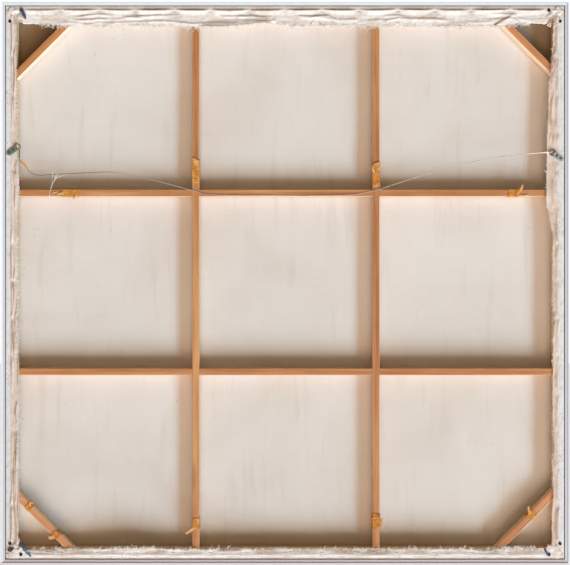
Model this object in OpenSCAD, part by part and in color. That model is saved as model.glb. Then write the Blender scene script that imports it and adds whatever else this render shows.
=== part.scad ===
// Large stretched canvas on a braced wooden strainer, in a thin metal strip frame.
// The bare back faces -Y, the primed front faces +Y, and the bottom edge rests on z = 0.

/* [Overall] */
// Width over the strip frame
overall_w = 1550; // [1200:10:2000]
// Height over the strip frame
overall_h = 1534; // [1300:2:2000]

/* [Strip frame] */
// Width of the strip seen from behind
strip_t = 10; // [9:0.5:16]
// Depth of the strip from back to front
strip_d = 44; // [44:1:60]
// Wall of the hollow strip
strip_wall = 2; // [2:0.1:2.6]
// Chamfer along the outer back edge of the strip
strip_chamfer = 3; // [1:0.5:4]
// Gap between the strip and the edge of the canvas
strip_gap = 1.5; // [0.5:0.1:4]
// How far the strip stands behind the stretcher bars
strip_proud = 3; // [1:0.5:3.5]
// Length of each leg of the hidden corner keys
key_leg = 60; // [30:1:90]
// Height of the corner keys inside the strip
key_h = 24; // [12:1:34]
// Distance from the strip's ends to its outermost screws
frame_screw_inset = 160; // [100:5:300]

/* [Stretcher bars] */
// Width of the stretcher bars seen from behind
bar_w = 29; // [25:1:50]
// Depth of the stretcher bars
bar_d = 38; // [34:1:45]
// Width of the raised lip that carries the canvas
lip_w = 8; // [4:1:12]
// Height of the raised lip above the rest of the bar's front
lip_h = 5; // [2:0.5:6]
// Thickness of the plywood spline across each mitre
spline_t = 5; // [3:0.5:8]
// Reach of the spline into each bar end
spline_reach = 22; // [12:1:26]

/* [Braces] */
// Thickness of the brace lumber, seen from behind
brace_t = 19; // [14:0.5:25]
// Depth of the brace lumber
brace_d = 32; // [26:1:32]
// Set-back of the braces from the back of the bars
brace_set_back = 0.5; // [0:0.1:1]
// Chamfer along the back edges of the braces
brace_chamfer = 1.2; // [0.4:0.1:2]
// Distance of the left upright brace from the middle
brace_left = 244; // [150:1:350]
// Distance of the right upright brace from the middle
brace_right = 249; // [150:1:350]
// Distance of the upper cross brace above mid-height
brace_upper = 245; // [150:1:350]
// Distance of the lower cross brace below mid-height
brace_lower = 244; // [150:1:350]
// Clearance in the half-lapped crossings
lap_clear = 0.15; // [0.1:0.05:0.3]

/* [Corner braces] */
// Reach of the top left corner brace along the bars
corner_leg_top_left = 156; // [120:1:190]
// Reach of the top right corner brace along the bars
corner_leg_top_right = 147; // [120:1:190]
// Reach of the bottom left corner brace along the bars
corner_leg_bottom_left = 144; // [130:1:190]
// Reach of the bottom right corner brace along the bars
corner_leg_bottom_right = 148; // [130:1:190]

/* [Canvas] */
// Thickness of the primed canvas
canvas_t = 1; // [0.6:0.1:1]
// Width of the canvas folded onto the back at the top
flap_top = 55; // [35:1:70]
// Width of the canvas folded onto the back at the bottom
flap_bottom = 28; // [26:1:50]
// Width of the canvas folded onto the back at the left
flap_left = 32; // [28:1:50]
// Width of the canvas folded onto the back at the right
flap_right = 44; // [28:1:50]

/* [Fasteners] */
// Spacing of the staples along the bars
staple_pitch = 102; // [60:1:160]
// Length of a staple's crown
staple_crown = 12; // [8:1:14]
// Length of a staple's legs
staple_leg = 8; // [6:1:12]
// Distance of the staples from the edge of the canvas
staple_inset = 17; // [14:1:20]
// Distance of the corner screws from the canvas's corner
corner_screw_along = 42; // [38:1:60]
// Distance of the corner screws from the canvas's edge
corner_screw_in = 12; // [9:1:20]
// Clearance around the shank of every screw
screw_clear = 0.1; // [0.05:0.05:0.2]

/* [Hangers] */
// Height of the left hanger's plate
hanger_left_z = 1126; // [900:1:1250]
// Height of the right hanger's plate
hanger_right_z = 1110; // [900:1:1250]
// Tilt of the hangers towards the middle
hanger_tilt = 35; // [30:1:40]
// Width of a hanger's plate
plate_w = 16; // [14:0.5:18]
// Length of a hanger's plate from its round end to the ring's pin
plate_l = 30; // [26:1:34]
// Thickness of a hanger's plate
plate_t = 1.5; // [1:0.1:2]
// Spacing of the two screws in a plate
plate_hole_pitch = 12; // [10:0.5:13]
// Width of the knuckle that holds the ring
knuckle_w = 9.5; // [8:0.1:9.6]
// Diameter of the knuckle
knuckle_d = 5.5; // [5:0.1:6]
// Diameter of the ring's wire
ring_wire = 2.5; // [2:0.1:2.8]
// Width of the ring between the middles of its arms
ring_w = 15; // [14.6:0.1:18]
// Straight length of the ring's arms
ring_arm = 3.5; // [2:0.1:6]
// Running clearance of the ring in its knuckle
ring_clear = 0.08; // [0.05:0.01:0.1]

/* [Wire, tape and string] */
// Diameter of the hanging wire
wire_d = 1.8; // [1.4:0.1:1.8]
// Diameter of the string tie
string_d = 1.2; // [0.8:0.1:1.2]
// Thickness of the wound masking tape
tape_t = 0.6; // [0.3:0.1:0.8]
// Clearance between the tape and what it is wound on
tape_clear = 0.3; // [0.2:0.05:0.4]

/* [Hidden] */
$fn = 48;

// Insets of each layer from the outside of the strip frame
canvas_inset = strip_t + strip_gap;
bar_inset = canvas_inset + canvas_t;
bar_inner = bar_inset + bar_w;

// Depths: the box of the whole object is centred on y = 0
knuckle_lift = 0.1;
hanger_depth = canvas_t + knuckle_lift + knuckle_d;
back_y = (hanger_depth + strip_proud - strip_d) / 2;
front_y = back_y + bar_d;
strip_y = back_y - strip_proud;
flap_y = back_y - canvas_t;
brace_y = back_y + brace_set_back;
brace_mid_y = brace_y + brace_d / 2;

// Heights and sides
mid_z = overall_h / 2;
upright_x = [-brace_left, brace_right];
cross_z = [mid_z - brace_lower, mid_z + brace_upper];
hanger_x = overall_w / 2 - bar_inset - bar_w / 2;

// Corners in the order top left, top right, bottom left, bottom right
corner_legs = [
    corner_leg_top_left, corner_leg_top_right, corner_leg_bottom_left, corner_leg_bottom_right
];

// Screws: head radius, head height, shank radius, length under the head
frame_screw = [3.4, 1.7, 1.9, 30];
brace_screw = [4, 2.5, 2, 60];
corner_brace_screw = [3.4, 2.2, 1.6, 24];
corner_screw = [4.2, 2.6, 2, 22];
hanger_screw = [3.4, 2, 1.6, 16];
corner_brace_screw_back = 4;
corner_brace_screw_seat = 8;
staple_wire = 1;
staple_reserve = 45;

// Ring: its bend radius at the knuckle, and the pin's straight length
ring_bend = 2.5;
ring_pin = ring_w - 2 * ring_bend;

// The hanging wire's route, from the left ring to the right ring
wire_route = [
    [-725.5, -21, 1130], [-725.5, -20.5, 1120], [-726, -19.5, 1110], [-724, -19, 1100],
    [-701, -18.5, 1074], [-694, -18.3, 1067], [-684, -18.2, 1062], [-668, -18, 1060],
    [-641, -18, 1062], [-600, -18, 1064], [-560, -18, 1066], [-518, -18, 1068],
    [-478, -18, 1069], [-430, -18, 1062], [-382, -18, 1052], [-314, -18, 1035],
    [-254, -18, 1019], [-218, -18, 1009], [-164, -18, 1006], [-95, -18, 1005],
    [-30, -18, 1005], [40, -18, 1004], [109, -18, 1005], [164, -18, 1006],
    [205, -18, 1010], [259, -18, 1022], [314, -18, 1040], [368, -18, 1057],
    [423, -18, 1074], [478, -18, 1089], [532, -18, 1101], [587, -18, 1110],
    [628, -18.5, 1115], [669, -19.5, 1119], [696, -20.5, 1121], [721.5, -21, 1123]
];
wire_sleeve_from = 3;
wire_sleeve_r = 2.2;

// The string's route: a tail, the knot, round the wire and the cross brace, and a tail
string_route = [
    [-600, -20.5, 1061], [-614, -21, 1057], [-624, -20.5, 1052], [-630, -20, 1058],
    [-634, -20.3, 1062.4], [-635, -18, 1064.7], [-636, -15.7, 1062.4], [-637, -15, 1045],
    [-638, -15, 1026], [-639, -10, 1022.6], [-640, 10, 1022.6], [-641, 15.6, 1022.7],
    [-641, 16.5, 1021.8], [-642, 16.5, 1002.2], [-643, 15.6, 1001.3], [-643, -10, 1001.4],
    [-644, -15.5, 1001.3], [-644, -17.8, 1003.2], [-642, -17.8, 1022], [-634, -18.6, 1040],
    [-626, -22.2, 1050], [-618, -22.5, 1066]
];

// Bands of tape: low and high end along the brace
tape_upright_left_span = [1036, 1107];
tape_upright_right_span = [1028, 1093];
tape_cross_left_span = [-609, -565];
tape_cross_right_span = [608, 668];
tape_left_foot_span = [89, 125];
tape_right_foot_span = [92, 135];
tape_left_high_span = [46, 64];
tape_left_low_span = [-62, -40];
tape_right_span = [8, 34];

// A rail along X, mitred at both ends, its outer edge on z = 0. The child is the section,
// drawn with the depth along x and the way in along y.
module rail(length, width, depth_from, depth) {
    intersection() {
        rotate([90, 0, 90]) linear_extrude(length, center = true) children();
        translate([0, depth_from + depth, 0]) rotate([90, 0, 0]) linear_extrude(depth)
            polygon([
                [-length / 2, 0], [length / 2, 0],
                [length / 2 - width, width], [-length / 2 + width, width]
            ]);
    }
}

// Puts a rail on one side: 0 top, 1 bottom, 2 left, 3 right
module at_side(side, inset) {
    if (side == 0) translate([0, 0, overall_h - inset]) rotate([0, 180, 0]) children();
    if (side == 1) translate([0, 0, inset]) children();
    if (side == 2) translate([-overall_w / 2 + inset, 0, mid_z]) rotate([0, 90, 0]) children();
    if (side == 3) translate([overall_w / 2 - inset, 0, mid_z]) rotate([0, -90, 0]) children();
}
function side_length(side, inset) = (side < 2 ? overall_w : overall_h) - 2 * inset;

// Puts a child drawn at a bottom left corner, with +x and +z inwards, at one of the corners
module at_corner(corner, inset) {
    translate([
        (corner % 2 == 0 ? -1 : 1) * (overall_w / 2 - inset), 0,
        corner < 2 ? overall_h - inset : inset
    ]) mirror([corner % 2, 0, 0]) mirror([0, 0, corner < 2 ? 1 : 0]) children();
}

// A wood screw along +z with the underside of its head on z = 0
module screw(size, clear = 0, extra = 0) {
    tip = size[2];
    rotate_extrude() polygon([
        [0, -size[1] - extra], [size[0] + clear, -size[1] - extra], [size[0] + clear, 0],
        [size[2] + clear, 0], [size[2] + clear, size[3] - tip + clear],
        [0, size[3] + clear]
    ]);
}

// A countersunk screw along +z with the top of its head on z = 0
module flat_screw(size, clear = 0) {
    tip = size[2];
    rotate_extrude() polygon([
        [0, 0], [size[0] + clear, 0], [size[2] + clear, size[1]],
        [size[2] + clear, size[3] - tip + clear], [0, size[3] + clear]
    ]);
}

// ---- Strip frame ----

module strip_section() {
    inside = strip_wall;
    difference() {
        polygon([
            [strip_y, strip_chamfer], [strip_y + strip_chamfer, 0], [strip_y + strip_d, 0],
            [strip_y + strip_d, strip_t], [strip_y, strip_t]
        ]);
        polygon([
            [strip_y + inside, strip_chamfer + inside / 2],
            [strip_y + strip_chamfer + inside / 2, inside],
            [strip_y + strip_d - inside, inside],
            [strip_y + strip_d - inside, strip_t - inside],
            [strip_y + inside, strip_t - inside]
        ]);
    }
}

module frame_strip(side) {
    color("lightsteelblue") difference() {
        at_side(side, 0) rail(side_length(side, 0), strip_t, strip_y, strip_d) strip_section();
        all_frame_screws(screw_clear);
    }
}

// One hidden L-shaped key in each mitred corner of the strip
module frame_corner_keys() {
    fit = 0.3;
    key_t = strip_t - 2 * strip_wall - 2 * fit;
    out = strip_wall + fit;
    color("silver") for (corner = [0:3]) at_corner(corner, 0)
        translate([0, strip_y + strip_d / 2 + key_h / 2, 0]) rotate([90, 0, 0])
            linear_extrude(key_h) polygon([
                [out, out], [key_leg, out], [key_leg, out + key_t],
                [out + key_t, out + key_t], [out + key_t, key_leg], [out, key_leg]
            ]);
}

// Screws through the strips into the bars, three to a side
module all_frame_screws(clear = 0) {
    for (side = [0:3], step = [-1, 0, 1])
        at_side(side, 0) translate([
            step * (side_length(side, 0) / 2 - frame_screw_inset), strip_y + strip_d / 2, 0
        ]) flat_screw(frame_screw, clear);
}

module frame_screws() {
    color("gray") all_frame_screws();
}

// ---- Stretcher bars ----

module bar_section() {
    step_y = front_y - lip_h;
    polygon([
        [back_y, 0], [front_y, 0], [front_y, lip_w],
        [step_y, lip_w + lip_h / 2], [step_y, bar_w], [back_y, bar_w]
    ]);
}

module stretcher_bar(side) {
    color("burlywood") difference() {
        at_side(side, bar_inset)
            rail(side_length(side, bar_inset), bar_w, back_y, bar_d) bar_section();
        all_splines(0.1);
        all_frame_screws(screw_clear);
        all_brace_screws(screw_clear);
        all_corner_brace_screws(screw_clear);
        all_corner_screws(screw_clear);
        all_hanger_screws(screw_clear);
    }
}

// A triangular plywood spline is let in across each mitre from the outer corner
module all_splines(clear = 0) {
    reach = spline_reach + 2 * clear;
    for (corner = [0:3]) at_corner(corner, bar_inset)
        translate([0, back_y + bar_d / 2 + spline_t / 2 + clear, 0]) rotate([90, 0, 0])
            linear_extrude(spline_t + 2 * clear) polygon([[0, 0], [reach, 0], [0, reach]]);
}

module corner_splines() {
    color("peru") all_splines();
}

// ---- Braces ----

// Section of the brace lumber: the depth along x, the thickness along y
module brace_section() {
    half = brace_t / 2;
    polygon([
        [brace_y, -half + brace_chamfer], [brace_y + brace_chamfer, -half],
        [brace_y + brace_d, -half], [brace_y + brace_d, half],
        [brace_y + brace_chamfer, half], [brace_y, half - brace_chamfer]
    ]);
}

module brace_bar(length) {
    rotate([90, 0, 90]) linear_extrude(length, center = true) brace_section();
}

// The uprights are notched in their front half, the cross braces in their back half
module upright_brace(which) {
    x = upright_x[which];
    notch = brace_t + 2 * lap_clear;
    color("sandybrown") difference() {
        translate([x, 0, mid_z]) rotate([0, 90, 0]) brace_bar(overall_h - 2 * bar_inner);
        for (z = cross_z) translate([x - brace_t, brace_mid_y, z - notch / 2])
            cube([2 * brace_t, brace_d, notch]);
        all_brace_screws(screw_clear);
    }
}

module cross_brace(which) {
    z = cross_z[which];
    notch = brace_t + 2 * lap_clear;
    color("sandybrown") difference() {
        translate([0, 0, z]) brace_bar(overall_w - 2 * bar_inner);
        for (x = upright_x)
            translate([x - notch / 2, brace_mid_y + lap_clear - brace_d, z - brace_t])
                cube([notch, brace_d, 2 * brace_t]);
        all_brace_screws(screw_clear);
    }
}

module corner_brace(corner) {
    leg = corner_legs[corner];
    reach = leg + 2 * brace_t;
    color("tan") difference() {
        at_corner(corner, bar_inner) intersection() {
            translate([leg / 2, 0, leg / 2]) rotate([0, 45, 0]) brace_bar(2 * leg);
            translate([0, brace_y + brace_d, 0]) rotate([90, 0, 0]) linear_extrude(brace_d)
                polygon([[0, 0], [reach, 0], [0, reach]]);
        }
        all_corner_brace_screws(screw_clear);
    }
}

// One long screw through the bars into each end of the four long braces
module all_brace_screws(clear = 0) {
    head = brace_screw[1];
    for (x = upright_x) {
        translate([x, brace_mid_y, bar_inset + head]) screw(brace_screw, clear);
        translate([x, brace_mid_y, overall_h - bar_inset - head]) rotate([0, 180, 0])
            screw(brace_screw, clear);
    }
    for (z = cross_z) {
        translate([-overall_w / 2 + bar_inset + head, brace_mid_y, z]) rotate([0, 90, 0])
            screw(brace_screw, clear);
        translate([overall_w / 2 - bar_inset - head, brace_mid_y, z]) rotate([0, -90, 0])
            screw(brace_screw, clear);
    }
}

module brace_screws() {
    color("dimgray") all_brace_screws();
}

// Two screws in each corner brace, sunk through its slanted ends into the bars
module all_corner_brace_screws(clear = 0) {
    sink = clear > 0 ? brace_t : 0;
    for (corner = [0:3]) {
        along = corner_legs[corner] - corner_brace_screw_back;
        at_corner(corner, bar_inner) {
            translate([along, brace_mid_y, corner_brace_screw_seat]) rotate([0, 180, 0])
                screw(corner_brace_screw, clear, sink);
            translate([corner_brace_screw_seat, brace_mid_y, along]) rotate([0, -90, 0])
                screw(corner_brace_screw, clear, sink);
        }
    }
}

module corner_brace_screws() {
    color("dimgray") all_corner_brace_screws();
}

// ---- Canvas ----

module canvas() {
    w = overall_w - 2 * canvas_inset;
    h = overall_h - 2 * canvas_inset;
    color("linen") difference() {
        translate([-w / 2, flap_y, canvas_inset]) cube([w, bar_d + 2 * canvas_t, h]);
        translate([-w / 2 + canvas_t, back_y, bar_inset])
            cube([w - 2 * canvas_t, bar_d, h - 2 * canvas_t]);
        translate([-w / 2 + flap_left, flap_y - 1, canvas_inset + flap_bottom])
            cube([w - flap_left - flap_right, canvas_t + 2, h - flap_top - flap_bottom]);
        all_frame_screws(screw_clear);
        all_corner_screws(screw_clear);
        all_hanger_screws(screw_clear);
    }
}

// A staple bridges along x, its crown on the flap and its legs pointing to +y
module staple() {
    half = staple_crown / 2;
    translate([0, 0, -staple_wire / 2]) linear_extrude(staple_wire) polygon([
        [-half, -staple_wire], [half, -staple_wire], [half, staple_leg],
        [half - staple_wire, staple_leg], [half - staple_wire, 0],
        [-half + staple_wire, 0], [-half + staple_wire, staple_leg], [-half, staple_leg]
    ]);
}

// Staples stand at an even pitch about the middle of each side, clear of the hangers
function staple_blocked(side, along) =
    side > 1 && abs(mid_z + (side == 2 ? -along : along)
        - (side == 2 ? hanger_left_z : hanger_right_z)) < staple_reserve;

module canvas_staples() {
    color("gray") for (side = [0:3]) {
        count = floor((side_length(side, bar_inset) / 2 - 2 * corner_screw_along) / staple_pitch);
        for (step = [-count:count]) if (!staple_blocked(side, step * staple_pitch))
            at_side(side, canvas_inset)
                translate([step * staple_pitch, flap_y, staple_inset]) staple();
    }
}

// Two black screws through the folded canvas at each corner, one into each bar
module all_corner_screws(clear = 0) {
    for (corner = [0:3]) at_corner(corner, canvas_inset) {
        translate([corner_screw_along, flap_y, corner_screw_in]) rotate([-90, 0, 0])
            screw(corner_screw, clear);
        translate([corner_screw_in, flap_y, corner_screw_along]) rotate([-90, 0, 0])
            screw(corner_screw, clear);
    }
}

module corner_screws() {
    color("black") all_corner_screws();
}

// ---- Hangers ----

// Puts a child on one hanger: +x towards the ring, +y across the plate, +z away from the flap
module at_hanger(which) {
    right = which == 1;
    translate([right ? hanger_x : -hanger_x, flap_y, right ? hanger_right_z : hanger_left_z])
        mirror([right ? 1 : 0, 0, 0]) rotate([0, -hanger_tilt, 0]) rotate([90, 0, 0]) children();
}

module hanger_strap(which) {
    pin_x = plate_l / 2;
    round_x = -plate_l / 2 + plate_w / 2;
    neck_x = pin_x - 5;
    axis_z = knuckle_lift + knuckle_d / 2;
    color("darkgray") at_hanger(which) difference() {
        union() {
            linear_extrude(plate_t) {
                translate([round_x, 0]) circle(d = plate_w);
                polygon([
                    [round_x, -plate_w / 2], [neck_x, -plate_w / 2], [pin_x, -knuckle_w / 2],
                    [pin_x, knuckle_w / 2], [neck_x, plate_w / 2], [round_x, plate_w / 2]
                ]);
            }
            translate([pin_x, knuckle_w / 2, axis_z]) rotate([90, 0, 0])
                cylinder(h = knuckle_w, d = knuckle_d);
        }
        translate([pin_x, knuckle_w, axis_z]) rotate([90, 0, 0])
            cylinder(h = 2 * knuckle_w, d = ring_wire + 2 * ring_clear);
        for (x = [-plate_hole_pitch / 2, plate_hole_pitch / 2])
            translate([x, 0, -1]) cylinder(h = plate_t + 2, r = hanger_screw[2] + 2 * screw_clear);
    }
}

module all_hanger_screws(clear = 0) {
    for (which = [0, 1], x = [-plate_hole_pitch / 2, plate_hole_pitch / 2])
        at_hanger(which) translate([x, 0, plate_t]) rotate([180, 0, 0])
            screw(hanger_screw, clear);
}

module hanger_screws() {
    color("dimgray") all_hanger_screws();
}

// Part of a ring's wire bent through an angle about the z axis
module wire_bend(radius, angle) {
    rotate_extrude(angle = angle) translate([radius, 0]) circle(d = ring_wire);
}

module d_ring(which) {
    side = ring_w / 2;
    bow_x = ring_bend + ring_arm;
    color("slategray") at_hanger(which)
        translate([plate_l / 2, 0, knuckle_lift + knuckle_d / 2]) {
            translate([0, ring_pin / 2, 0]) rotate([90, 0, 0])
                cylinder(h = ring_pin, d = ring_wire);
            for (hand = [0, 1]) mirror([0, hand, 0]) {
                translate([ring_bend, side - ring_bend, 0]) rotate([0, 0, 90])
                    wire_bend(ring_bend, 90);
                translate([ring_bend, side, 0]) rotate([0, 90, 0])
                    cylinder(h = ring_arm, d = ring_wire);
            }
            translate([bow_x, 0, 0]) rotate([0, 0, -90]) wire_bend(side, 180);
        }
}

// ---- Wire, string and tape ----

function unit(v) = v / norm(v);
function tangent(route, i) =
    unit(route[min(i + 1, len(route) - 1)] - route[max(i - 1, 0)]);
function side_of(direction) =
    let (up = abs(direction[1]) < 0.8 ? [0, 1, 0] : [1, 0, 0]) unit(cross(direction, up));

// Rings keep their turn along the route, each taken from the one before it
function frames(route, i = 0, last = undef, made = []) =
    i == len(route) ? made :
    let (
        direction = tangent(route, i),
        start = is_undef(last) ? side_of(direction) : last,
        across = unit(start - (start * direction) * direction)
    ) frames(route, i + 1, across, concat(made, [[across, cross(direction, across)]]));

module tube(route, diameter, sides = 8) {
    turns = frames(route);
    count = len(route);
    points = [
        for (i = [0:count - 1], k = [0:sides - 1])
            route[i] + diameter / 2 * (
                cos(360 * k / sides) * turns[i][0] + sin(360 * k / sides) * turns[i][1]
            )
    ];
    walls = [
        for (i = [0:count - 2], k = [0:sides - 1])
            let (a = i * sides + k, b = i * sides + (k + 1) % sides)
                each [[a, b, b + sides], [a, b + sides, a + sides]]
    ];
    start_cap = [[for (k = [sides - 1:-1:0]) k]];
    end_cap = [[for (k = [0:sides - 1]) (count - 1) * sides + k]];
    polyhedron(
        points = points,
        faces = [for (face = concat(walls, start_cap, end_cap)) [for (j = [len(face) - 1:-1:0]) face[j]]]
    );
}

module hanging_wire() {
    color("lightgray") tube(wire_route, wire_d);
}

// Tape wound on the wire below the left ring
module wire_tape_sleeve() {
    from = wire_route[wire_sleeve_from];
    to = wire_route[wire_sleeve_from + 1];
    way = unit(to - from);
    length = norm(to - from);
    trim = 1;
    color("goldenrod") translate(from + trim * way)
        rotate([0, acos(way[2]), atan2(way[1], way[0])]) difference() {
            cylinder(h = length - 2 * trim, r = wire_sleeve_r);
            translate([0, 0, -trim]) cylinder(h = length, r = wire_d / 2 + tape_clear);
        }
}

module string_tie() {
    color("white") tube(string_route, string_d);
}

// A band of tape round a brace along x, between two places along it
module tape_band(span) {
    inner = brace_t + 2 * tape_clear;
    outer = inner + 2 * tape_t;
    deep = brace_d + 2 * tape_clear;
    translate([span[0], brace_y - tape_clear, 0]) difference() {
        translate([0, -tape_t, -outer / 2]) cube([span[1] - span[0], deep + 2 * tape_t, outer]);
        translate([-1, 0, -inner / 2]) cube([span[1] - span[0] + 2, deep, inner]);
    }
}

module tape_on_upright(which, span) {
    color("goldenrod") translate([upright_x[which], 0, 0]) rotate([0, -90, 0]) tape_band(span);
}

module tape_on_cross(span) {
    color("goldenrod") translate([0, 0, cross_z[1]]) tape_band(span);
}

// The span is counted from the middle of the corner brace, positive towards the side bar
module tape_on_corner(corner, span) {
    leg = corner_legs[corner];
    color("goldenrod") at_corner(corner, bar_inner) translate([leg / 2, 0, leg / 2])
        rotate([0, 45, 0]) mirror([1, 0, 0]) tape_band(span);
}

frame_strip(0);  // frame_strip_top
frame_strip(1);  // frame_strip_bottom
frame_strip(2);  // frame_strip_left
frame_strip(3);  // frame_strip_right
frame_corner_keys();
frame_screws();
stretcher_bar(0);  // stretcher_bar_top
stretcher_bar(1);  // stretcher_bar_bottom
stretcher_bar(2);  // stretcher_bar_left
stretcher_bar(3);  // stretcher_bar_right
corner_splines();
upright_brace(0);  // upright_brace_left
upright_brace(1);  // upright_brace_right
cross_brace(0);  // cross_brace_lower
cross_brace(1);  // cross_brace_upper
corner_brace(0);  // corner_brace_top_left
corner_brace(1);  // corner_brace_top_right
corner_brace(2);  // corner_brace_bottom_left
corner_brace(3);  // corner_brace_bottom_right
brace_screws();
corner_brace_screws();
canvas();
canvas_staples();
corner_screws();
hanger_strap(0);  // hanger_strap_left
hanger_strap(1);  // hanger_strap_right
hanger_screws();
d_ring(0);  // d_ring_left
d_ring(1);  // d_ring_right
hanging_wire();
wire_tape_sleeve();
string_tie();
tape_on_upright(0, tape_upright_left_span);  // tape_upright_left
tape_on_upright(1, tape_upright_right_span);  // tape_upright_right
tape_on_cross(tape_cross_left_span);  // tape_cross_left
tape_on_cross(tape_cross_right_span);  // tape_cross_right
tape_on_upright(0, tape_left_foot_span);  // tape_upright_left_foot
tape_on_upright(1, tape_right_foot_span);  // tape_upright_right_foot
tape_on_corner(2, tape_left_high_span);  // tape_corner_left_high
tape_on_corner(2, tape_left_low_span);  // tape_corner_left_low
tape_on_corner(3, tape_right_span);  // tape_corner_right
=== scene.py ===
import math

import bmesh
import bpy
import numpy as np
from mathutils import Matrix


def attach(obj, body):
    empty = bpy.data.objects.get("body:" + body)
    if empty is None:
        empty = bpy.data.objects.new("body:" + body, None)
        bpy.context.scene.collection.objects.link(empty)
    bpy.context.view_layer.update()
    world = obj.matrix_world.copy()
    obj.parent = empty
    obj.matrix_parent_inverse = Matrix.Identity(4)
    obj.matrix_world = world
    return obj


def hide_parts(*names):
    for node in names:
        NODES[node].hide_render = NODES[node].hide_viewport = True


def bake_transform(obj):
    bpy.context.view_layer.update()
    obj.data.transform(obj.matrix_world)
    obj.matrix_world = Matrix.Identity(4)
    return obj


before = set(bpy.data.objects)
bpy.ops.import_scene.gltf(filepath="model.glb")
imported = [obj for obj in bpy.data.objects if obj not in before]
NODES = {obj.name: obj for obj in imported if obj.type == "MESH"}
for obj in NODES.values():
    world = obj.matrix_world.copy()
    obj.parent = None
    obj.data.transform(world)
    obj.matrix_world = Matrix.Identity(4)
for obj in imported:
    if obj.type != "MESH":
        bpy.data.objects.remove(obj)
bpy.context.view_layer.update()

SCENE = bpy.context.scene
MM = 0.001

# ---- Sizes from part.scad, in millimetres ----

OVERALL_W, OVERALL_H = 1550.0, 1534.0
CANVAS_INSET, CANVAS_T = 11.5, 1.0
BACK_Y, FLAP_Y, BRACE_Y, STRIP_Y = -17.2, -18.2, -16.7, -20.2
BRACE_T, BRACE_D = 19.0, 32.0
UPRIGHT_X = (-244.0, 249.0)
CROSS_Z = (523.0, 1012.0)
BAR_INNER = 41.5
CORNER_LEGS = {"top_left": 156.0, "top_right": 147.0, "bottom_left": 144.0, "bottom_right": 148.0}
STAPLE_PITCH, STAPLE_INSET = 102.0, 17.0
WIRE_D, STRING_D = 1.8, 1.2

# The middle surface of the cloth
HALF_X = OVERALL_W / 2 - CANVAS_INSET - CANVAS_T / 2
LOW_Z, HIGH_Z = CANVAS_INSET + CANVAS_T / 2, OVERALL_H - CANVAS_INSET - CANVAS_T / 2
MID_Z = OVERALL_H / 2
HALF_Z = (HIGH_Z - LOW_Z) / 2
CLOTH_BACK = FLAP_Y + CANVAS_T / 2
CLOTH_FRONT = -FLAP_Y + 2 * CANVAS_T + 1.6 - CANVAS_T / 2

# ---- Camera ----

camera_data = bpy.data.cameras.new("camera")
camera_data.lens = 84.5
camera_data.sensor_width = 36
camera = bpy.data.objects.new("camera", camera_data)
camera.location = (0, -3.675, 0.767)
camera.rotation_euler = (math.pi / 2, 0, 0)
SCENE.collection.objects.link(camera)
SCENE.camera = camera


# ---- Numbers ----

def noise1(x, seed):
    """Smooth noise from -1 to 1 along a line, one lattice point a unit."""
    return noise2(x, np.zeros_like(np.asarray(x, float)) + 0.5, seed)


LATTICES = {}


def noise2(x, y, seed):
    """Smooth noise from -1 to 1 over a plane."""
    if seed not in LATTICES:
        LATTICES[seed] = np.random.default_rng(seed).uniform(-1, 1, (128, 128))
    table = LATTICES[seed]
    x, y = np.asarray(x, float), np.asarray(y, float)
    xi, yi = np.floor(x).astype(int), np.floor(y).astype(int)
    fx, fy = x - xi, y - yi
    fx, fy = fx * fx * (3 - 2 * fx), fy * fy * (3 - 2 * fy)
    a, b = table[xi % 128, yi % 128], table[(xi + 1) % 128, yi % 128]
    c, d = table[xi % 128, (yi + 1) % 128], table[(xi + 1) % 128, (yi + 1) % 128]
    return (a + (b - a) * fx) * (1 - fy) + (c + (d - c) * fx) * fy


def smooth(x, low, high):
    t = np.clip((np.asarray(x, float) - low) / (high - low), 0, 1)
    return t * t * (3 - 2 * t)


def resample(points, step, rounded=True):
    """Points a step apart along a route; rounded bends it smoothly through the route's points."""
    p = np.array(points, float)
    if rounded:
        padded = np.vstack([2 * p[0] - p[1], p, 2 * p[-1] - p[-2]])
        fine = []
        for i in range(1, len(padded) - 2):
            a, b, c, d = padded[i - 1:i + 3]
            for t in np.linspace(0, 1, 24, endpoint=False):
                fine.append(0.5 * (2 * b + (c - a) * t + (2 * a - 5 * b + 4 * c - d) * t * t
                                   + (3 * b - a - 3 * c + d) * t ** 3))
        p = np.array(fine + [padded[-2]])
    run = np.concatenate([[0], np.cumsum(np.linalg.norm(np.diff(p, axis=0), axis=1))])
    at = np.linspace(0, run[-1], max(2, int(round(run[-1] / step)) + 1))
    return np.stack([np.interp(at, run, p[:, k]) for k in range(3)], axis=1), run[-1]


def chaikin(points, times=2):
    p = np.array(points, float)
    for _ in range(times):
        q = [p[0]]
        for a, b in zip(p[:-1], p[1:]):
            q += [a * 0.75 + b * 0.25, a * 0.25 + b * 0.75]
        p = np.array(q + [p[-1]])
    return p


# ---- Meshes ----

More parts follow.
